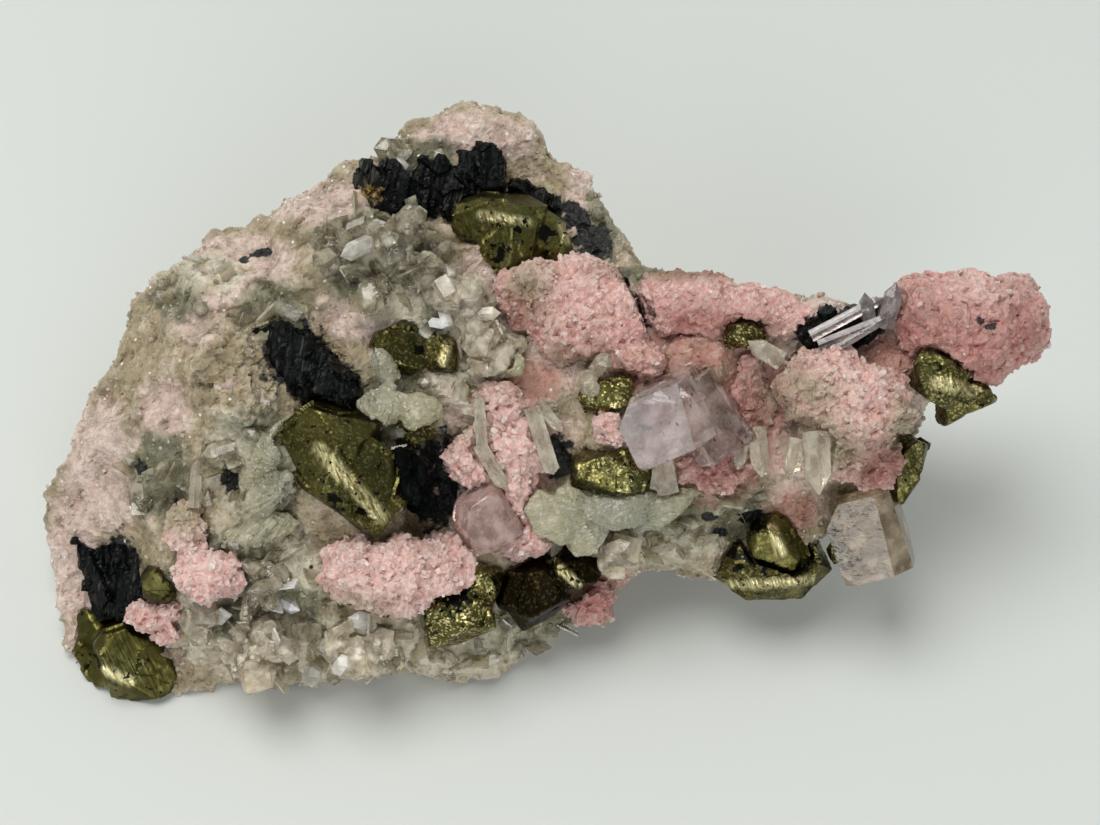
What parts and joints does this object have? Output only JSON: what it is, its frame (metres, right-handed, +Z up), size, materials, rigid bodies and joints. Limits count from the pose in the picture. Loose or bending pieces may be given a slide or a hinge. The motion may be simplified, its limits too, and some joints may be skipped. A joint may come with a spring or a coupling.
{
  "type": "rhodochrosite mineral specimen",
  "caption": "Rough rock with a thick left lump and a thin right arm, its leaning front grown over with pink rhodochrosite, brassy chalcopyrite, black sphalerite and clear crystals.",
  "frame": {"origin": "on the flat underside that the rock rests on, below the middle of the thick left lump", "axes": "+X along the specimen from the thick lump to the tip of the arm, +Z up from the rest face, -Y the side that the crystal face leans towards"},
  "size_m": [0.0922, 0.0523, 0.0347],
  "materials": {
    "granular_rock": "sugary pale pink to grey rock of fine rhodochrosite and quartz grains",
    "pink_rhodochrosite": "vivid pink, sugary, slightly see-through grains with glints",
    "chalcopyrite": "greenish brassy metal, finely striated, tarnished in patches",
    "black_sphalerite": "glossy black with fine striations",
    "quartz": "milky to clear grey-green crystal, glassy faces",
    "calcite": "cloudy pale yellow-green, pearly",
    "fluorite": "clear crystal with a faint lilac tint, glassy faces"
  },
  "bodies": {
    "root": {"rock_matrix": "granular_rock", "rhodochrosite_oval": "pink_rhodochrosite", "rhodochrosite_left_lobes": "pink_rhodochrosite", "rhodochrosite_fan": "pink_rhodochrosite", "rhodochrosite_column": "pink_rhodochrosite", "rhodochrosite_knob": "pink_rhodochrosite", "rhodochrosite_slab": "pink_rhodochrosite", "rhodochrosite_recess": "pink_rhodochrosite", "rhodochrosite_ball": "pink_rhodochrosite", "rhodochrosite_tip": "pink_rhodochrosite", "rhodochrosite_lower_left": "pink_rhodochrosite", "rhodochrosite_bottom": "pink_rhodochrosite", "chalcopyrite_upper": "chalcopyrite", "chalcopyrite_centre": "chalcopyrite", "chalcopyrite_lower_left": "chalcopyrite", "chalcopyrite_pair": "chalcopyrite", "chalcopyrite_by_knob": "chalcopyrite", "chalcopyrite_middle": "chalcopyrite", "chalcopyrite_front": "chalcopyrite", "chalcopyrite_foot": "chalcopyrite", "chalcopyrite_speck": "chalcopyrite", "chalcopyrite_tip": "chalcopyrite", "chalcopyrite_right_edge": "chalcopyrite", "chalcopyrite_wedge": "chalcopyrite", "chalcopyrite_bottom": "chalcopyrite", "chalcopyrite_chip": "chalcopyrite", "chalcopyrite_left_chip": "chalcopyrite", "chalcopyrite_under_lens": "chalcopyrite", "sphalerite_top": "black_sphalerite", "sphalerite_top_right": "black_sphalerite", "sphalerite_middle": "black_sphalerite", "sphalerite_lower_left": "black_sphalerite", "sphalerite_arm": "black_sphalerite", "sphalerite_pocket": "black_sphalerite", "quartz_needle": "quartz", "quartz_pale_prism": "quartz", "quartz_twin_points": "quartz", "quartz_hanging_point": "quartz", "quartz_beside_bud": "quartz", "quartz_clear_point": "quartz", "quartz_arm_spray": "quartz", "quartz_shoulder": "quartz", "quartz_top_left": "quartz", "quartz_middle": "quartz", "quartz_below_calcite": "quartz", "quartz_lower_shelf": "quartz", "quartz_shelf_middle": "quartz", "quartz_left_hollow": "quartz", "quartz_glassy_left": "quartz", "quartz_slim_clear": "quartz", "quartz_above_knob": "quartz", "calcite_lens": "calcite", "calcite_green_lens": "calcite", "calcite_fan": "calcite", "calcite_ivory": "calcite", "calcite_left_dome": "calcite", "fluorite_block": "fluorite", "fluorite_lilac": "fluorite", "clear_crystal": "fluorite"}
  },
  "joints": []
}
